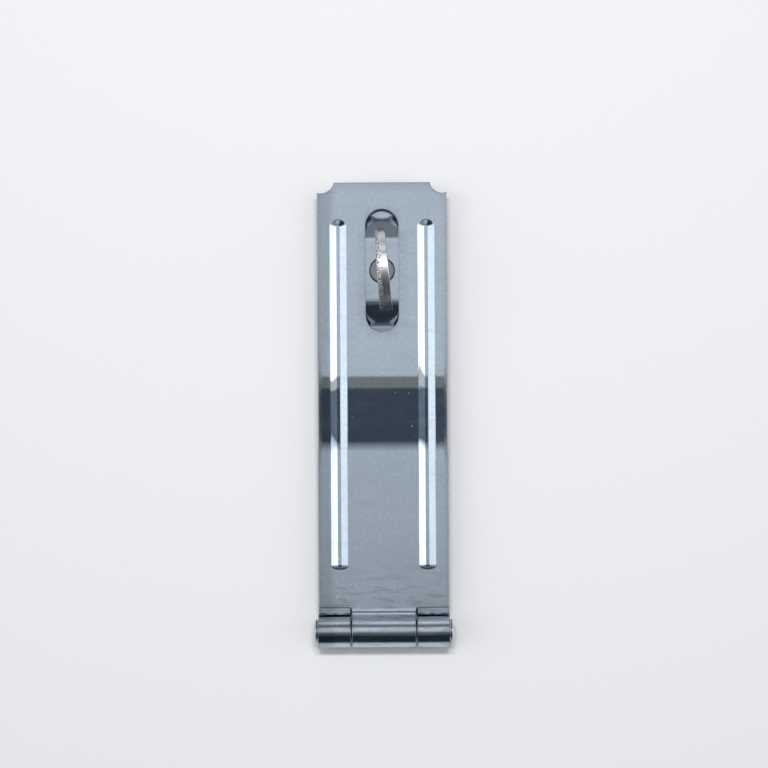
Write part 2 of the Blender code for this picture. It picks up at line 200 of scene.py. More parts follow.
def edge_distance(points, loops):
    """How far each point is from the nearest edge."""
    nearest = np.full(len(points), np.inf)
    for loop in loops:
        side = np.roll(loop, -1, axis=0) - loop
        length = (side**2).sum(1)
        for i in range(0, len(points), 2000):
            gap = points[i:i + 2000, None] - loop
            share = np.clip((gap * side).sum(2) / length, 0, 1)
            off = gap - share[..., None] * side
            nearest[i:i + 2000] = np.minimum(nearest[i:i + 2000], np.sqrt((off**2).sum(2).min(1)))
    return nearest


def inside(points, loops):
    """Whether each point lies within the outer outline and outside the holes."""
    odd = np.zeros(len(points), bool)
    for loop in loops:
        after = np.roll(loop, -1, axis=0)
        for i in range(0, len(points), 2000):
            x, y = points[i:i + 2000, 0, None], points[i:i + 2000, 1, None]
            spans = (loop[:, 1] > y) != (after[:, 1] > y)
            rise = np.where(after[:, 1] == loop[:, 1], 1.0, after[:, 1] - loop[:, 1])
            cross = loop[:, 0] + (y - loop[:, 1]) * (after[:, 0] - loop[:, 0]) / rise
            odd[i:i + 2000] ^= (spans & (x < cross)).sum(1) % 2 == 1
    return odd


# Sheet pieces

class Sheet:
    """A pressed sheet: flat outlines, the surface they are laid on, and how their edges were cut.

    loops are pairs of outlines with equally many points, on the front and on the back face: the outer
    one anticlockwise, then the holes clockwise. A countersunk hole is narrower on the back face.
    """

    def __init__(self, loops, xs, us, place, relief, thickness=SHEET):
        self.loops = loops
        self.grid = np.array([(x, u) for u in us for x in xs])
        self.place, self.relief = place, relief
        self.half = thickness / 2

    def lift(self, points, height):
        """Points of the unrolled sheet in space, at a height from the sheet's middle."""
        middle, normal = self.place(points)
        return middle + normal * (height + self.relief(points))[:, None]

    def face(self, side):
        """(points, triangles, heights, wear) of one face, whose first points are its outlines."""
        loops = [pair[side] for pair in self.loops]
        edges, count = [], 0
        for loop in loops:
            edges += [(count + i, count + (i + 1) % len(loop)) for i in range(len(loop))]
            count += len(loop)
        rings = [loop + inward(loop) * gap for loop in loops for gap in RINGS]
        free = np.vstack(rings)
        true = edge_distance(free, loops)
        wanted = np.concatenate([np.full(len(loop), gap) for loop in loops for gap in RINGS])
        free = free[(true > wanted * 0.9) & inside(free, loops)]
        grid = self.grid[inside(self.grid, loops)]
        grid = grid[edge_distance(grid, loops) > RINGS[-1] + 0.12]
        points = np.vstack(loops + [free, grid])
        flat = [Vector(p) for p in points]
        triangles = np.array(delaunay_2d_cdt(flat, edges, [], 0, 1e-7)[2])
        outline = (triangles < count).all(1)
        keep = ~outline
        keep[outline] = inside(points[triangles[outline]].mean(1), loops)
        outer = edge_distance(points, loops[:1])
        holes = edge_distance(points, loops[1:]) if len(loops) > 1 else np.full(len(points), np.inf)
        outer_round, hole_round = (ROLL_OVER, HOLE_EDGE) if side == 0 else (BURR, BURR)
        drop = np.maximum(rounding(outer, outer_round), rounding(holes, hole_round))
        # scuffing and painted shade: the face darkens within 0.5 mm of an edge, for scuffed edges and for a
        # painted dark outline along them
        wear_and_shade = np.clip(1 - np.minimum(outer, holes) / 0.5, 0, 1) * 0.6
        heights = (self.half - drop) * (1 if side == 0 else -1)
        return points, triangles[keep], heights, wear_and_shade

    def wall(self, pair, number, top, bottom):
        """Rows of (points, wear) down a cut edge: smooth where it was sheared, then rough."""
        front, back = pair
        shares = (0.2, 0.4, 0.55, 0.7, 0.85)
        countersunk = not np.array_equal(front, back)
        rows = []
        reach = 0.35 + 0.05 * np.array([noise.noise(Vector((*p * 0.3, number))) for p in front])
        for share in shares:
            level = countersunk and share == shares[0]
            height = top if level else top + (bottom - top) * share
            flat = front + (back - front) * max(0.0, share - 0.1) / 0.9
            rough = np.array([noise.noise(Vector((*p * 2.4, share * 7 + number))) for p in front])
            torn = np.clip((share - reach) / 0.1, 0, 1) * (0.03 + 0.03 * rough)
            places = self.lift(flat + inward(front) * torn[:, None], height)
            rows.append((places, np.full(len(front), 0.85)))
        return rows

    def mesh(self, name):
        """The whole closed piece, with how scuffed and how shaded each point is in an attribute."""
        faces_of = [self.face(0), self.face(1)]
        places, faces, wear_and_shade = [], [], []
        start = [0, len(faces_of[0][0])]
        for side, (points, triangles, heights, worn_and_shaded) in enumerate(faces_of):
            places.append(self.lift(points, heights))
            turned = triangles if side == 0 else triangles[:, ::-1]
            faces += (turned + start[side]).tolist()
            wear_and_shade.append(worn_and_shaded)
        total = start[1] + len(faces_of[1][0])
        offset = 0
        for number, pair in enumerate(self.loops):
            size = len(pair[0])
            ends = [faces_of[side][2][offset:offset + size] for side in (0, 1)]
            rows = self.wall(pair, number, ends[0], ends[1])
            rings = [np.arange(size) + offset]
            for row, worn_and_shaded in rows:
                places.append(row)
                wear_and_shade.append(worn_and_shaded)
                rings.append(np.arange(size) + total)
                total += size
            rings.append(np.arange(size) + offset + start[1])
            for upper, lower in zip(rings, rings[1:]):
                after, below = np.roll(upper, -1), np.roll(lower, -1)
                faces += np.column_stack((upper, lower, below, after)).tolist()
            offset += size
        return mesh_of(name, np.vstack(places), faces, np.concatenate(wear_and_shade))


def rounding(distance, radius):
    """How far a face has dropped at this distance from an edge rounded to this radius."""
    left = np.clip(radius - distance, 0, radius)
    return radius - np.sqrt(radius**2 - left**2)


def mesh_of(name, places, faces, wear_and_shade=None, sharp=38.0):
    """A smooth-shaded mesh in metres from places in millimetres."""
    mesh = bpy.data.meshes.new(name)
    mesh.from_pydata((np.asarray(places) * MM).tolist(), [], faces)
    bm = bmesh.new()
    bm.from_mesh(mesh)
    bmesh.ops.recalc_face_normals(bm, faces=bm.faces)
    bm.to_mesh(mesh)
    bm.free()
    mesh.shade_smooth()
    mesh.set_sharp_from_angle(angle=math.radians(sharp))
    worn_and_shaded = mesh.attributes.new("wear_and_shade", "FLOAT", "POINT")
    worn_and_shaded.data.foreach_set("value", np.zeros(len(places)) if wear_and_shade is None else wear_and_shade)
    return mesh


def piece(name, mesh, material, body, node):
    """Puts a finished piece in the scene in place of its CAD node."""
    obj = bpy.data.objects.new(name, mesh)
    bpy.context.scene.collection.objects.link(obj)
    obj.data.materials.clear()
    obj.data.materials.append(material)
    weighted = obj.modifiers.new("flat_faces", "WEIGHTED_NORMAL")
    weighted.keep_sharp = True
    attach(obj, body)
    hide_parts(node)
    return obj


# The strap

def strap_place(points):
    """Where the middle of the strap's sheet is, and which way its front faces."""
    u = points[:, 1]
    bend = np.clip(-u / BEND_RADIUS, 0, BEND_ANGLE)
    curl = math.pi / 2 - BEND_ANGLE + np.clip(-u - BEND_ANGLE * BEND_RADIUS, 0, None) / CURL_RADIUS
    rolled = u < -BEND_ANGLE * BEND_RADIUS
    y = BEND_Y + np.clip(u, 0, None) - BEND_RADIUS * np.sin(bend)
    z = BEND_Z - BEND_RADIUS * np.cos(bend)
    y = np.where(rolled, CURL_RADIUS * np.cos(curl), y)
    z = np.where(rolled, CURL_RADIUS * np.sin(curl), z)
    normal_y = np.where(rolled, np.cos(curl), np.sin(bend))
    normal_z = np.where(rolled, np.sin(curl), np.cos(bend))
    middle = np.column_stack((points[:, 0], y + PIN_Y, z + PIN_Z))
    return middle, np.column_stack((np.zeros(len(u)), normal_y, normal_z))


def ramp_sum(share):
    """The running total of a slope that rises from 0 to 1 and stays there."""
    share = np.clip(share, 0, None)
    return np.where(share < 1, share**2 / 2, share - 0.5)


def flank(share, blend):
    """A straight rise from 0 to 1 that rounds into the flat at both ends."""
    return (ramp_sum(share + blend) - ramp_sum(share - blend)) / (2 * blend)


def strap_relief(points):
    """Height of the two pressed ribs, whose flanks waver a little along their length."""
    side, u = np.sign(points[:, 0]), points[:, 1]
    x = np.abs(points[:, 0]) - RIB_X
    along = u - np.clip(u, RIB_LOW, RIB_HIGH)
    along = np.where(along < 0, along * RIB_BLUNT, along)
    foot = RIB_FOOT - RIB_WAVER * (1 + np.sin(u * 0.13 + side * 2) * np.sin(u * 0.071 - side))
    share = (foot - np.hypot(x, along)) / (foot - RIB_CREST)
    return RIB_HEIGHT * flank(share, RIB_BLEND)


def strap_outline():
    tip = -BEND_ANGLE * BEND_RADIUS - STRAP_CURL * CURL_RADIUS
    tongue, relief = KNUCKLE_HALF, KNUCKLE_HALF + RELIEF_RADIUS
    meet_side = math.degrees(math.acos((STRAP_HALF - NOTCH_X) / NOTCH_RADIUS))
    meet_end = math.degrees(math.asin(1.0 / NOTCH_RADIUS))
    right = np.vstack((
        [(tongue, tip)],
        circle(relief, -RELIEF_RADIUS, RELIEF_RADIUS, 180, 90),
        [(relief, 0.0), (STRAP_HALF, 0.0)],
        circle(NOTCH_X, STRAP_END + 1.0, NOTCH_RADIUS, -meet_side, -180 + meet_end),
        [(NOTCH_X - NOTCH_RADIUS * math.cos(math.radians(meet_end)), STRAP_END)],
    ))
    left = right[::-1] * (-1, 1)
    return wander(dense(np.vstack((right, left))), 3.0)


def slot_outline():
    centre = STAPLE_Y - PIN_Y - BEND_Y
    half = SLOT_LENGTH / 2 - SLOT_HALF
    low = circle(0, centre - half, SLOT_HALF, 360, 180)
    high = circle(0, centre + half, SLOT_HALF, 180, 0)
    low_left, high_right = (-SLOT_HALF, centre - half), (SLOT_HALF, centre + half)
    return wander(dense(np.vstack((low, [low_left], high, [high_right]))), 9.0)


def spaced(low, high, step):
    return np.linspace(low, high, max(2, math.ceil((high - low) / step) + 1))


def both_sides(values):
    return np.unique(np.round(np.concatenate((-np.asarray(values), values)), 4))


def make_strap(material):
    across = (0, 0.15, 0.3, 0.45, 0.6, 0.75, 0.9, 1.2, 1.6, 2.0, 2.3, 2.45, 2.6, 2.75, 2.9, 3.05, 3.2)
    xs = both_sides(np.concatenate((RIB_X + both_sides(across), (0.0, 3.0, 6.0, 9.0, 19.5))))
    tip = -BEND_ANGLE * BEND_RADIUS - STRAP_CURL * CURL_RADIUS
    us = np.unique(np.concatenate((
        spaced(tip, 0, 0.28),
        spaced(0, STRAP_END, 4.0),
        spaced(RIB_LOW - 3.4, RIB_LOW + 1.0, 0.22),
        spaced(RIB_HIGH - 1.0, RIB_HIGH + 3.4, 0.22),
    )))
    outer, slot = strap_outline(), slot_outline()
    sheet = Sheet([(outer, outer), (slot, slot)], xs, us, strap_place, strap_relief)
    return piece("strap_sheet", sheet.mesh("strap_sheet"), material, "hasp", "strap")


# The hinge leaf

def leaf_place(points):
    u = points[:, 1]
    angle = 1.5 * math.pi + np.clip(u, None, 0) / CURL_RADIUS
    y = CURL_RADIUS * np.cos(angle) + np.clip(u, 0, None)
    z = CURL_RADIUS * np.sin(angle)
    middle = np.column_stack((points[:, 0], y + PIN_Y, z + PIN_Z))
    return middle, np.column_stack((np.zeros(len(u)), -np.cos(angle), -np.sin(angle)))


def no_relief(points):
    return np.zeros(len(points))


def leaf_outline():
    tip = -LEAF_CURL * CURL_RADIUS
    inner = KNUCKLE_HALF + KNUCKLE_GAP
    corner = inner - RELIEF_RADIUS
    right = np.vstack((
        circle(corner, LEAF_RELIEF - RELIEF_RADIUS, RELIEF_RADIUS, 90, 0),
        [(inner, LEAF_RELIEF - RELIEF_RADIUS), (inner, tip), (LEAF_HALF, tip)],
        circle(LEAF_HALF - LEAF_CORNER, LEAF_END - LEAF_CORNER, LEAF_CORNER, 0, 90),
        [(LEAF_HALF - LEAF_CORNER, LEAF_END)],
    ))
    left = right[::-1] * (-1, 1)
    return wander(dense(np.vstack((right, left))), 5.0)


def screw_seats(xs, ys):
    """Front and back outlines of countersunk holes, clockwise."""
    seats = []
    for x in xs:
        for y in ys:
            wide = circle(x, y, SEAT_RADIUS, 360, 0)
            narrow = np.array((x, y)) + (wide - (x, y)) * SEAT_BOTTOM / SEAT_RADIUS
            seats.append((wide, narrow))
    return seats


def make_leaf(material):
    tip = -LEAF_CURL * CURL_RADIUS
    outer = leaf_outline()
    spread_x, spread_y = LEAF_SCREWS
    seats = screw_seats((-spread_x, spread_x), (-PIN_Y - spread_y, -PIN_Y + spread_y))
    us = np.concatenate((spaced(tip, 0, 0.28), spaced(0, LEAF_END, 3.0)[1:]))
    xs = both_sides((0, 4, 8, 12.5, 16, 19.5))
    sheet = Sheet([(outer, outer), *seats], xs, us, leaf_place, no_relief)
    return piece("hinge_leaf_sheet", sheet.mesh("hinge_leaf_sheet"), material, "base", "hinge_leaf")


# The staple plate

def plate_place(points):
    middle = np.column_stack((points[:, 0], points[:, 1] + STAPLE_Y, np.full(len(points), SHEET / 2)))
    return middle, np.tile((0.0, 0.0, 1.0), (len(points), 1))


def boss_relief(points):
    """The boss rises on straight flanks from its foot to its flat top, both rounded rectangles.

    The share is halved down to the outline between the two that passes through each point.
    """
    share, move = np.full(len(points), 0.5), 0.4
    for _ in range(14):
        corner = BOSS_CORNERS[0] + (BOSS_CORNERS[1] - BOSS_CORNERS[0]) * share
        core = BOSS_FLAT + (BOSS_FOOT - BOSS_FLAT) * share[:, None] - corner[:, None]
        beyond = np.linalg.norm(np.clip(np.abs(points) - core, 0, None), axis=1) > corner
        share += np.where(beyond, move, -move)
        move /= 2
    return (BOSS_TOP - SKIN - SHEET) * flank(1 - share, BOSS_BLEND)


def plate_outline():
    x, y = PLATE_HALF - PLATE_CORNER
    corners = ((x, y, 0), (-x, y, 90), (-x, -y, 180), (x, -y, 270))
    rows = [circle(cx, cy, PLATE_CORNER, start, start + 90) for cx, cy, start in corners]
    return wander(dense(np.vstack(rows)), 7.0)


def make_plate(material):
    outer = plate_outline()
    hole = circle(0, 0, SHANK_HOLE, 360, 0, 0.3)
    spread_x, spread_y = PLATE_SCREWS
    seats = screw_seats((-spread_x, spread_x), (-spread_y, spread_y))
    reach_x, reach_y = BOSS_FOOT + 0.6
    xs = np.unique(np.concatenate((spaced(-reach_x, reach_x, 0.5), (-19.0, -15.0, 15.0, 19.0))))
    us = np.unique(np.concatenate((spaced(-reach_y, reach_y, 0.5), (-22.0, -20.0, 20.0, 22.0))))
    sheet = Sheet([(outer, outer), (hole, hole), *seats], xs, us, plate_place, boss_relief)
    return piece("staple_plate_sheet", sheet.mesh("staple_plate_sheet"), material, "base", "staple_plate")


# Turned pieces

def turned(profile, roughness, seed=0.0):
    """A solid turned about Z from (radius, height) points that start and end on the axis."""
    profile = np.asarray(profile, float)
    steps = SEGMENTS
    angles = math.tau * np.arange(steps) / steps
    places, faces = [(0, 0, profile[0][1])], []
    for radius, height in profile[1:-1]:
        for angle in angles:
            direction = Vector((math.cos(angle), math.sin(angle), 0))
            dent = noise.noise(direction * radius * 0.8 + Vector((0, 0, height * 0.8 + seed)))
            keep = radius - roughness * (0.5 + 0.5 * dent)
            places.append((*(direction * keep)[:2], height))
    places.append((0, 0, profile[-1][1]))
    rings = len(profile) - 2
    for i in range(steps):
        j = (i + 1) % steps
        faces.append((0, 1 + i, 1 + j))
        for ring in range(rings - 1):
            low = 1 + ring * steps
            faces.append((low + i, low + steps + i, low + steps + j, low + j))
        faces.append((1 + (rings - 1) * steps + j, 1 + (rings - 1) * steps + i, len(places) - 1))
    return np.array(places), faces


def pin_profile():
    """Half of the pin: its plain length, then a head hammered over into a low, flat-topped dome."""
    seat = LEAF_HALF + 0.3
    tip = PIN_HIGH[0] - SKIN
    dome = []
    for angle in np.radians(np.arange(-30, 78, 6)):
        dome.append((PIN_HEAD_RADIUS - 0.45 + 0.43 * math.cos(angle), seat + 0.35 + 0.45 * math.sin(angle)))
    radius, height = dome[-1]
    crown = [(radius * share, tip - (tip - height) * share**2) for share in (0.9, 0.75, 0.6, 0.45, 0.3, 0.15)]
    return [(PIN_RADIUS, seat)] + dome + crown + [(0, tip)]


def make_pin(material):
    half = pin_profile()
    shaft = [(PIN_RADIUS, height) for height in np.arange(-21, 21.1, 1.5)]
    other = [(radius, -height) for radius, height in reversed(half)]
    places, faces = turned(other + shaft + half, roughness=0.10)
    hammered = []
    # painted shade: dark where the knuckles hide it
    wear_and_shade = [1.0 if abs(place[2]) < LEAF_HALF else 0.0 for place in places]
    for x, y, z in places:
        outside = max(0.0, abs(z) - LEAF_HALF - 0.5)
        dent = 0.5 + 0.5 * noise.noise(Vector((x * 0.7, y * 0.7, z)))
        hammered.append((z - math.copysign(outside * 0.35 * dent, z), y + PIN_Y, PIN_Z - x))
    mesh = mesh_of("hinge_pin_steel", hammered, faces, wear_and_shade)
    return piece("hinge_pin_steel", mesh, material, "base", "hinge_pin")


def make_washer(material):
    inner, outer = SHANK_HOLE, (WASHER_HIGH[0] - WASHER_LOW[0]) / 2
    low, high = WASHER_LOW[2], WASHER_HIGH[2]
    bevel = 0.15
    section = [
        (inner + bevel, high), (outer - bevel * 2, high), (outer - 0.06, high - bevel * 0.7),
        (outer, high - bevel * 1.6), (outer, low + bevel), (outer - bevel, low), (inner + bevel, low),
        (inner, low + bevel), (inner, high - bevel),
    ]
    places, faces = [], []
    for i in range(SEGMENTS):
        angle = math.tau * i / SEGMENTS
        places += [(r * math.cos(angle), r * math.sin(angle) + STAPLE_Y, z) for r, z in section]
    size = len(section)
    for i in range(SEGMENTS):
        for k in range(size):
            a, b = i * size, (i + 1) % SEGMENTS * size
            faces.append((a + k, a + (k + 1) % size, b + (k + 1) % size, b + k))
    mesh = mesh_of("staple_washer_steel", places, faces)
    return piece("staple_washer_steel", mesh, material, "staple", "staple_washer")


# The turning staple

def eye_outline():
    """The eye seen flat on: most of a disc, cut off level at the strap, with rounded low corners."""
    drop = EYE_CENTRE - EYE_UNDERSIDE - EYE_FILLET
    corner = math.sqrt((EYE_RADIUS - EYE_FILLET) ** 2 - drop**2)
    meet = math.degrees(math.atan2(-drop, corner))
    low = EYE_CENTRE - drop
    return dense(np.vstack((
        circle(corner, low, EYE_FILLET, -90, meet, 0.25),
        circle(0, EYE_CENTRE, EYE_RADIUS, meet, 180 - meet, 0.25),
        circle(-corner, low, EYE_FILLET, 180 - meet, 270, 0.25),
        [(-corner, EYE_UNDERSIDE)],
    )), 0.25)


def eye_place(points):
    """The eye stands on edge across X, turned a little from the slot."""
    y, z = points[:, 0], points[:, 1]
    turn_x, turn_y = math.cos(EYE_TURN), math.sin(EYE_TURN)
    middle = np.column_stack((-y * turn_y, y * turn_x + STAPLE_Y, z))
    return middle, np.tile((turn_x, turn_y, 0.0), (len(points), 1))


class Eye(Sheet):
    """The padlock eye, whose cut edge is wide: smooth where it was sheared and torn along one side."""

    def lift(self, points, height):
        """As for a sheet, but the back of the blank tapers towards the end away from the hinge."""
        along = np.clip((points[:, 0] + EYE_RADIUS) / (2 * EYE_RADIUS), 0, 1)
        return super().lift(points, height + EYE_TAPER * along * (0.5 - height / EYE_THICKNESS))

    def wall(self, pair, number, top, bottom):
        front = pair[0]
        rows = []
        for share in np.linspace(0, 1, 22)[1:-1]:
            height = top + (bottom - top) * share
            bulge = 0.10 * (2 * share - 1) ** 2
            streak = np.array([noise.noise(Vector((*p * 0.25, share * 14))) for p in front])
            pits = np.array([noise.noise(Vector((*p * 1.9, share * 9 + 4))) for p in front])
            torn = np.clip((share - 0.62 - 0.15 * streak) / 0.08, 0, 1)
            pit = torn * np.clip(pits * 3 + 0.1, 0, 1)
            inset = bulge + 0.02 * streak + pit * 0.22
            # painted shade: both ends are darker than the crown, where they turn away from the light
            # overhead; the pits and some lengthwise streaks are darker too
            ends = np.maximum(0.1 - front[:, 0] / 9, (front[:, 0] - 6) / 8)
            dark = np.clip(ends, 0, 1) * (0.7 + 0.8 * np.clip(streak, -0.5, 0.5))
            places = self.lift(front + inward(front) * inset[:, None], height)
            rows.append((places, np.clip(np.maximum(dark, pit), 0, 1)))
        return rows


def make_staple(material, neck_shade_material):
    outer = eye_outline()
    hole = circle(0, EYE_HOLE_CENTRE, EYE_HOLE_RADIUS, 360, 0, 0.3)
    grid = spaced(-14, 14, 1.2)
    eye = Eye([(outer, outer), (hole, hole)], grid, spaced(6, 27, 1.2), eye_place, no_relief, EYE_THICKNESS)
    mesh = eye.mesh("eye")
    washer_top = WASHER_HIGH[2]
    rivet_top = WASHER_LOW[2] - 0.3
    shoulder = BOSS_TOP + 0.3
    top = EYE_UNDERSIDE + 0.5
    foot = EYE_LOW[2] + SKIN
    profile = [
        (0, foot), (1.5, foot), (RIVET_RADIUS - 0.9, foot), (RIVET_RADIUS - 0.3, EYE_LOW[2] + 0.15),
        (RIVET_RADIUS, rivet_top - 0.3), (RIVET_RADIUS - 0.1, rivet_top),
        (SHANK_RADIUS, rivet_top), (SHANK_RADIUS, washer_top), (SHANK_RADIUS, shoulder),
        (NECK_RADIUS - 0.25, shoulder), (NECK_RADIUS - 0.07, shoulder + 0.08), (NECK_RADIUS, shoulder + 0.25),
        (NECK_RADIUS, top - 1.2), (NECK_RADIUS - 0.1, top - 0.5), (NECK_RADIUS - 0.5, top), (0, top),
    ]
    places, faces = turned(profile, roughness=0.06, seed=2.0)
    places[:, 1] += STAPLE_Y
    # painted shade: the neck is marked as fully shaded, for the shade under the eye
    staple = join_shapes(mesh, mesh_of("neck", places, faces, np.ones(len(places))))
    staple.shade_smooth()
    staple.set_sharp_from_angle(angle=math.radians(38))
    obj = piece("swivel_staple_steel", staple, material, "staple", "swivel_staple")
    obj.visible_glossy = False
    # painted shade: the neck's faces under the eye and its top take the dark neck finish
    obj.data.materials.append(neck_shade_material)
    for polygon in obj.data.polygons:
        _, _, z = polygon.center / MM
        if z < EYE_UNDERSIDE - 0.05 or (z < top + 0.05 and polygon.normal.z > 0.5):
            polygon.material_index = 1
    return obj


def join_shapes(first, second, operation="UNION"):
    """One closed mesh out of two that overlap."""
    made = []
    for mesh in (first, second):
        obj = bpy.data.objects.new(mesh.name, mesh)
        bpy.context.scene.collection.objects.link(obj)
        made.append(obj)
    tool = made[0].modifiers.new("join", "BOOLEAN")
    tool.operation = operation
    tool.object = made[1]
    graph = bpy.context.evaluated_depsgraph_get()
    mesh = bpy.data.meshes.new_from_object(made[0].evaluated_get(graph))
    for obj in made:
        bpy.data.objects.remove(obj)
    bm = bmesh.new()
    bm.from_mesh(mesh)
    bmesh.ops.remove_doubles(bm, verts=bm.verts, dist=WELD * MM)
    bmesh.ops.dissolve_degenerate(bm, edges=bm.edges, dist=WELD * MM)
    bm.to_mesh(mesh)
    bm.free()
    return mesh


# Screws

def screw_mesh():
    """A flat-head wood screw whose head's top is at height 0, with a cross recess."""
    head_radius = (SCREW_HIGH[0] - SCREW_LOW[0]) / 2 - SKIN
    length = SCREW_HIGH[2] - SCREW_LOW[2] - SKIN
    cone = (head_radius - CORE_RADIUS) / HEAD_SLOPE
    depths = [0.0, 0.05, HEAD_LAND, HEAD_LAND + 0.05]
    depths += list(spaced(HEAD_LAND + 0.3, HEAD_LAND + cone, 0.3))
    depths += list(spaced(HEAD_LAND + cone + 0.1, length, 0.1))[:-1]
    thread_start = length - THREAD_TURNS * THREAD_PITCH
    angles = math.tau * np.arange(48) / 48
    places = [(0, 0, 0)]
    for depth in depths:
        if depth < HEAD_LAND:
            base = head_radius - 0.06 * (1 - depth / HEAD_LAND)
        else:
            base = max(CORE_RADIUS, head_radius - (depth - HEAD_LAND) * HEAD_SLOPE)
        taper = min(1.0, (length - depth) / TIP_TAPER)
        for angle in angles:
            phase = (depth / THREAD_PITCH - angle / math.tau) % 1.0
            crest = max(0.0, 1 - abs(phase - 0.5) / 0.30)
            begun = min(1.0, max(0.0, (depth - thread_start) / THREAD_PITCH))
            radius = base * taper**0.8 + THREAD_HEIGHT * crest**0.8 * begun * taper
            places.append((radius * math.cos(angle), radius * math.sin(angle), -depth))
    places.append((0, 0, -length))
    faces, steps, rings = [], len(angles), len(depths)
    for i in range(steps):
        j = (i + 1) % steps
        faces.append((0, 1 + i, 1 + j))
        for ring in range(rings - 1):
            low = 1 + ring * steps
            faces.append((low + i, low + steps + i, low + steps + j, low + j))
        faces.append((1 + (rings - 1) * steps + j, 1 + (rings - 1) * steps + i, len(places) - 1))
    mesh = mesh_of("screw", places, faces, sharp=45)
    for across in (False, True):
        mesh = join_shapes(mesh, recess_blade(across), "DIFFERENCE")
    mesh.set_sharp_from_angle(angle=math.radians(45))
    return mesh


def recess_blade(across):
    """One of the two crossed, tapering blades that shape the driver recess."""
    outline = [
        (-RECESS_REACH, 0.4), (RECESS_REACH, 0.4),
        (RECESS_FLOOR_REACH, -RECESS_DEPTH), (-RECESS_FLOOR_REACH, -RECESS_DEPTH),
    ]
    half = RECESS_WIDTH / 2
    places = [(side * half * (RECESS_TAPER if z < 0 else 1.0), y, z) for side in (-1, 1) for y, z in outline]
    if across:
        places = [(y, -x, z) for x, y, z in places]
    faces = [(0, 1, 2, 3), (7, 6, 5, 4), (0, 4, 5, 1), (1, 5, 6, 2), (2, 6, 7, 3), (3, 7, 4, 0)]
    return mesh_of("blade", places, faces)


def make_screws(material):
    mesh = screw_mesh()
    for node in sorted(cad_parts):
        if "_screw_" not in node:
            continue
        low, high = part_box(node)
        obj = bpy.data.objects.new(node + "_steel", mesh)
        bpy.context.scene.collection.objects.link(obj)
        obj.location = ((low.x + high.x) / 2, (low.y + high.y) / 2, high.z)
        obj.rotation_euler = (0, 0, math.radians(SCREW_TURN * int(node[-1])))
        obj.data.materials.clear()
        obj.data.materials.append(material)
        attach(obj, "base")
        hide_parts(node)


# Materials

def add(tree, kind, inputs=(), **settings):
    """A new shader node. Inputs are values or other nodes' outputs, by position or by name."""
    made = tree.nodes.new("ShaderNode" + kind)
    for name, value in settings.items():
        setattr(made, name, value)
    for key, value in inputs.items() if isinstance(inputs, dict) else enumerate(inputs):
        if isinstance(value, bpy.types.NodeSocket):
            tree.links.new(value, made.inputs[key])
        elif value is not None:
            made.inputs[key].default_value = value
    return made


def calc(tree, operation, a, b=None):
    return add(tree, "Math", (a, b), operation=operation).outputs[0]


def times(tree, a, b):
    return calc(tree, "MULTIPLY", a, b)


def plus(tree, a, b):
    return calc(tree, "ADD", a, b)


def left_of(tree, share, strength=1.0):
    """What is left of 1 once a share, at a strength, is taken away."""
    return calc(tree, "SUBTRACT", 1.0, share if strength == 1.0 else times(tree, share, strength))


def remap(tree, value, low, high):
    """0 at low and 1 at high, with a soft start and end."""
    node = add(tree, "MapRange", (value, low, high, 0.0, 1.0), interpolation_type="SMOOTHSTEP")
    return node.outputs[0]


def blend(tree, share, a, b):
    """A colour between two others."""
    node = add(tree, "Mix", data_type="RGBA")
    for key, value in ((0, share), (6, a), (7, b)):
        if isinstance(value, bpy.types.NodeSocket):
            tree.links.new(value, node.inputs[key])
        else:
            node.inputs[key].default_value = value if key == 0 else (*value, 1.0)
    return node.outputs[2]


def layer(tree, under, share, strength, over):
    """A colour laid over another, at most as strongly as strength says."""
    return blend(tree, times(tree, share, strength), under, over)


def cloud(tree, place, scale, stretch=(1, 1, 1), detail=2.0, roughness=0.5):
    """Noise whose features are about 1/scale millimetres across, stretched along the axes."""
    moved = add(tree, "Mapping", {"Vector": place, "Scale": [scale * s for s in stretch]}).outputs[0]
    node = add(tree, "TexNoise", {"Vector": moved, "Scale": 1.0, "Detail": detail, "Roughness": roughness})
    return node.outputs[0]


def marks(tree, place, turn, stretch, width, share):
    """Sparse streaks: one in each stretched cell that a throw of the dice picks."""
    turned_place = add(tree, "Mapping", {"Vector": place, "Rotation": (0, 0, math.radians(turn))}).outputs[0]
    cells = add(tree, "Mapping", {"Vector": turned_place, "Scale": stretch}).outputs[0]
    spot = add(tree, "TexVoronoi", {"Vector": cells, "Scale": 1.0})
    dice = add(tree, "SeparateColor", (spot.outputs["Color"],))
    near = remap(tree, spot.outputs["Distance"], width, width * 0.35)
    picked = calc(tree, "LESS_THAN", dice.outputs[0], share)
    strength = times(tree, picked, dice.outputs[1])
    return times(tree, near, strength)


def scratches(tree, place, turns, stretch, width, share):
    """Sparse streaks in several directions, given in degrees."""
    lines = 0.0
    for turn in turns:
        lines = calc(tree, "MAXIMUM", lines, marks(tree, place, turn, stretch, width, share))
    return lines


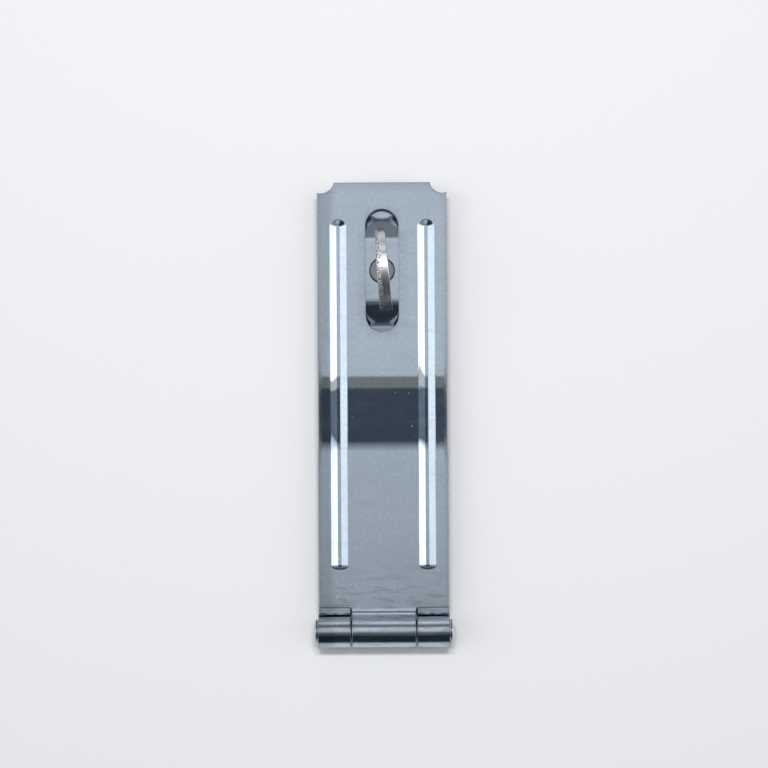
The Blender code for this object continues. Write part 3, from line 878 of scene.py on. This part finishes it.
def plated_steel(name, colour, tint, sharp, haze, haze_share, grain, waves=1.0):
    """Zinc plating on steel: a mirror-like gloss under a thin haze, mottled, scratched and smudged, and
    darkened where the mesh marks scuffing and painted shade.
    """
    material = bpy.data.materials.new(name)
    material.use_nodes = True
    tree = material.node_tree
    tree.nodes.clear()
    place = add(tree, "TexCoord").outputs["Object"]
    place = add(tree, "Mapping", {"Vector": place, "Scale": (1 / MM,) * 3}).outputs[0]
    worn_and_shaded = add(tree, "Attribute", attribute_name="wear_and_shade").outputs["Fac"]

    broad = cloud(tree, place, 0.05, detail=4)
    mottle = cloud(tree, place, 1.1, (1, 0.8, 1), detail=5, roughness=0.7)
    rolled = cloud(tree, place, 2.2, (1, 0.06, 1), detail=3)
    specks = marks(tree, place, 20, (0.9, 0.9, 0.9), 0.15, 0.22)
    fine_lines = scratches(tree, place, (12, -35, 68, -80), (1.8, 0.12, 0.8), 0.13, 0.16)
    long_lines = scratches(tree, place, (-28, 41, 83), (0.9, 0.035, 0.4), 0.07, 0.14)
    lines = calc(tree, "MAXIMUM", fine_lines, long_lines)
    smudge = remap(tree, cloud(tree, place, 0.16, (0.5, 1.6, 1), detail=4, roughness=0.6), 0.48, 0.72)

    dull = blend(tree, remap(tree, broad, 0.38, 0.64), colour, tint)
    patch = remap(tree, mottle, 0.30, 0.70)
    dull = layer(tree, dull, patch, 0.6, tuple(c * 0.82 for c in colour))
    streak = remap(tree, rolled, 0.40, 0.70)
    dull = layer(tree, dull, streak, 0.06, (0.30, 0.33, 0.36))
    dull = layer(tree, dull, smudge, 0.16, (0.42, 0.40, 0.37))
    x, y, _ = add(tree, "SeparateXYZ", (place,)).outputs
    # darker beyond x = -13 mm on every piece, with a wavy border
    left_side_darkening = remap(tree, plus(tree, x, times(tree, broad, 4.0)), -13.0, -16.5)
    dull = layer(tree, dull, left_side_darkening, 0.50, (0.26, 0.31, 0.35))
    # darker in patches from y = -8 mm towards the hinge
    hinge_end_darkening = times(tree, remap(tree, y, -8.0, -26.0), remap(
        tree, cloud(tree, place, 0.3, (0.45, 1.8, 1), detail=5, roughness=0.65), 0.46, 0.66,
    ))
    dull = layer(tree, dull, hinge_end_darkening, 0.50, (0.27, 0.29, 0.31))
    marked = calc(tree, "MAXIMUM", times(tree, lines, 0.55), specks)
    dull = blend(tree, marked, dull, (0.85, 0.88, 0.92))
    # scuffing and painted shade: darker where the mesh asks: cut edges, the pin inside the knuckles, the
    # eye's ends and the neck
    dull = layer(tree, dull, worn_and_shaded, 0.8, (0.12, 0.13, 0.14))

    wave_height = cloud(tree, place, 0.022, (1, 1.6, 1), detail=0)
    waving = add(tree, "Bump", {"Strength": 1.0, "Distance": 0.002 * MM * waves, "Height": wave_height})
    fine = plus(tree, times(tree, rolled, 0.25), mottle)
    fine = calc(tree, "SUBTRACT", fine, times(tree, marked, 1.2))
    fine_bump = add(tree, "Bump", {
        "Strength": 1.0, "Distance": grain * MM, "Height": fine, "Normal": waving.outputs[0],
    })

    gloss = add(tree, "BsdfPrincipled", {
        "Base Color": dull, "Metallic": 1.0,
        "Roughness": plus(tree, sharp, times(tree, worn_and_shaded, 0.40)),
        "Normal": waving.outputs[0],
    })
    misty = add(tree, "BsdfPrincipled", {
        "Base Color": dull, "Metallic": left_of(tree, marked),
        "Roughness": plus(tree, haze, times(tree, smudge, 0.08)),
        "Normal": fine_bump.outputs[0],
    })
    share = plus(tree, haze_share, times(tree, smudge, 0.06))
    share = plus(tree, share, times(tree, patch, 0.05))
    share = plus(tree, share, times(tree, worn_and_shaded, 0.5))
    curled = remap(tree, y, -27.2, -28.4)
    share = times(tree, share, left_of(tree, curled, 0.55))
    share = calc(tree, "MAXIMUM", share, marked)
    mixed = add(tree, "MixShader", (share, gloss.outputs[0], misty.outputs[0]))
    add(tree, "OutputMaterial", (mixed.outputs[0],))
    return material


# The studio

CAMERA_HEIGHT = 850.0
CAMERA_LOOK = (0.42, 45.9, 6.0)
CAMERA_ROLL = -0.33
VIEW_WIDTH = 251.7  # what the camera sees of the plane it looks at

# Brightness of the surroundings, by how far a direction leans towards +Y, in degrees: a dark room in
# front of the hinge, the panel overhead, a break, and a second panel low beyond the staple
OVERHEAD = (
    (-85, 0.30), (-78, 0.02), (-34, 0.02), (-20, 0.14), (-8, 0.20), (-4.5, 0.58),
    (1, 0.80), (22, 0.90), (34, 0.26), (45, 0.26), (62, 1.00), (90, 0.40),
)
AROUND = 0.42  # brightness of what lies off to both sides
LEFT_PANEL = 1.6  # how much brighter the panels high at the sides are
RIGHT_PANEL = 0.8
CORNER_SHADE = 0.95  # how much of the light is kept off the far right corner
WALL_COLOUR = (0.15, 0.50, 1.0, 1.0)
WALL_LEVEL = 0.017
BACKDROP_COLOUR = (0.93, 0.93, 0.94, 1.0)
BACKDROP_LEVEL = 0.92
FLOOR_COLOUR = (0.64, 0.64, 0.645, 1.0)
FLOOR_Z = -0.2  # just below the face that the hasp is screwed to
FLOOR_REACH = 3.0  # in metres

# Colour of the panel overhead across its dark gap, by the direction's y: one edge is soft, and a dim
# strip lies along the other
PANEL = (0.96, 0.98, 1.00)
UNLIT = (0.018, 0.032, 0.050)
DIM = (0.32, 0.30, 0.28)
GAP = ((-0.026, PANEL), (-0.022, UNLIT), (-0.002, UNLIT), (-0.001, DIM), (0.0025, DIM), (0.0035, PANEL))


def brightness_ramp(tree, value, stops, low, high):
    """A ramp through (value, brightness or colour) stops between two ends."""
    share = add(tree, "MapRange", (value, low, high, 0.0, 1.0)).outputs[0]
    node = add(tree, "ValToRGB", (share,))
    ramp = node.color_ramp
    while len(ramp.elements) < len(stops):
        ramp.elements.new(0.5)
    for element, (position, level) in zip(ramp.elements, stops):
        element.position = (position - low) / (high - low)
        element.color = (*np.broadcast_to(level, 3), 1.0)
    return node.outputs[0]


def studio_world():
    """A soft panel overhead with a narrow gap across it, and a brighter one high at each side.

    Only reflections and light see the panels. The camera sees a plain pale backdrop.
    """
    world = bpy.data.worlds.new("studio")
    bpy.context.scene.world = world
    world.use_nodes = True
    tree = world.node_tree
    tree.nodes.clear()
    direction = add(tree, "TexCoord").outputs["Generated"]
    axes = add(tree, "SeparateXYZ", (direction,))
    x, y, z = axes.outputs
    lean = [(math.sin(math.radians(angle)), level) for angle, level in OVERHEAD]
    above = brightness_ramp(tree, y, lean, -1.0, 1.0)
    gap = brightness_ramp(tree, y, GAP, GAP[0][0], GAP[-1][0])
    left = remap(tree, x, -0.25, -0.60)
    right = remap(tree, x, 0.25, 0.60)
    open_gap = remap(tree, x, 0.30, 0.12)
    central = remap(tree, calc(tree, "ABSOLUTE", y), 0.42, 0.22)
    high = times(tree, central, remap(tree, z, 0.20, 0.40))
    sideways = remap(tree, calc(tree, "ABSOLUTE", x), 0.25, 0.50)
    around = times(tree, left_of(tree, high), sideways)
    above = times(tree, above, left_of(tree, around))
    above = plus(tree, above, times(tree, around, AROUND))
    above = plus(tree, above, times(tree, times(tree, left, high), LEFT_PANEL))
    above = plus(tree, above, times(tree, times(tree, right, high), RIGHT_PANEL))
    corner = times(tree, remap(tree, x, 0.12, 0.35), remap(tree, y, 0.25, 0.50))
    above = times(tree, above, left_of(tree, corner, CORNER_SHADE))
    panels = add(tree, "Background", (blend(tree, open_gap, PANEL, gap), above))
    walls = add(tree, "Background", (WALL_COLOUR, WALL_LEVEL))
    panels = add(tree, "AddShader", (panels.outputs[0], walls.outputs[0]))
    backdrop = add(tree, "Background", (BACKDROP_COLOUR, BACKDROP_LEVEL))
    seen = add(tree, "LightPath").outputs["Is Camera Ray"]
    mixed = add(tree, "MixShader", (seen, panels.outputs[0], backdrop.outputs[0]))
    add(tree, "OutputWorld", (mixed.outputs[0],))


def soft_light(name, size, energy, location, lean):
    """A large soft light beyond the staple, tilted back towards it by an angle in degrees."""
    light = bpy.data.lights.new(name, "AREA")
    light.shape = "RECTANGLE"
    light.size, light.size_y = size
    light.energy = energy
    obj = bpy.data.objects.new(name, light)
    bpy.context.scene.collection.objects.link(obj)
    obj.location = location
    obj.rotation_euler = (math.radians(-lean), 0, 0)
    return obj


def studio_lights(eye):
    """One light for the shadow in front of the hinge, and one that only the padlock eye mirrors."""
    shadow = soft_light("shadow_light", (0.4, 0.10), 7.0, (0.0, 0.36, 0.90), 20)
    shadow.visible_glossy = False
    crown = soft_light("crown_light", (0.5, 0.45), 0.6, (0.0, 0.36, 0.64), 23)
    receivers = bpy.data.collections.new("crown_light_receivers")
    receivers.objects.link(eye)
    crown.light_linking.receiver_collection = receivers


def pale_floor():
    mesh = bpy.data.meshes.new("floor")
    reach = FLOOR_REACH
    corners = [(-reach, -reach), (reach, -reach), (reach, reach), (-reach, reach)]
    mesh.from_pydata([(x, y, FLOOR_Z * MM) for x, y in corners], [], [(0, 1, 2, 3)])
    material = bpy.data.materials.new("pale_floor")
    material.use_nodes = True
    shader = material.node_tree.nodes["Principled BSDF"]
    shader.inputs["Base Color"].default_value = FLOOR_COLOUR
    shader.inputs["Roughness"].default_value = 0.9
    shader.inputs["Specular IOR Level"].default_value = 0.0
    mesh.materials.append(material)
    floor = bpy.data.objects.new("floor", mesh)
    bpy.context.scene.collection.objects.link(floor)


def overhead_camera():
    data = bpy.data.cameras.new("camera")
    camera = bpy.data.objects.new("camera", data)
    bpy.context.scene.collection.objects.link(camera)
    x, y, z = CAMERA_LOOK
    camera.location = (x * MM, y * MM, (z + CAMERA_HEIGHT) * MM)
    camera.rotation_euler = (0, 0, math.radians(CAMERA_ROLL))
    data.sensor_width = 36.0
    data.lens = data.sensor_width * CAMERA_HEIGHT / VIEW_WIDTH
    bpy.context.scene.camera = camera


# Finishes: colour, mottled colour, roughness of the gloss and of the haze, the haze's share, and bump depth
sheet_steel = plated_steel("zinc_sheet", (0.53, 0.615, 0.70), (0.50, 0.585, 0.67), 0.004, 0.33, 0.08, 0.0010)
plate_steel = plated_steel("zinc_plate", (0.55, 0.64, 0.73), (0.51, 0.60, 0.69), 0.12, 0.33, 0.10, 0.0010)
# painted highlight: the pin and washer are paler than the sheet, for the bright glints on the pin's heads
highlit_pin_steel = plated_steel("zinc_pin", (0.78, 0.81, 0.84), (0.70, 0.73, 0.76), 0.16, 0.38, 0.35, 0.004, 20)
# painted highlight: the eye is paler than the sheet, for the bright glare on its crown, which the crown light
# adds to
highlit_eye_steel = plated_steel("zinc_eye", (0.92, 0.94, 0.96), (0.84, 0.86, 0.88), 0.14, 0.36, 0.3, 0.006, 20)
# painted shade: a dark copy of the zinc for the neck under the eye
neck_shade_steel = plated_steel("zinc_neck_painted_shade", (0.30, 0.29, 0.29), (0.24, 0.23, 0.23), 0.20, 0.40, 0.4, 0.006, 20)
screw_steel = plated_steel("zinc_screw", (0.62, 0.64, 0.66), (0.55, 0.56, 0.58), 0.15, 0.40, 0.35, 0.004, 10)

make_strap(sheet_steel)
make_leaf(sheet_steel)
make_plate(plate_steel)
make_pin(highlit_pin_steel)
make_washer(highlit_pin_steel)
eye = make_staple(highlit_eye_steel, neck_shade_steel)
make_screws(screw_steel)
pale_floor()
studio_world()
studio_lights(eye)
overhead_camera()
bpy.context.scene.view_settings.view_transform = "Standard"
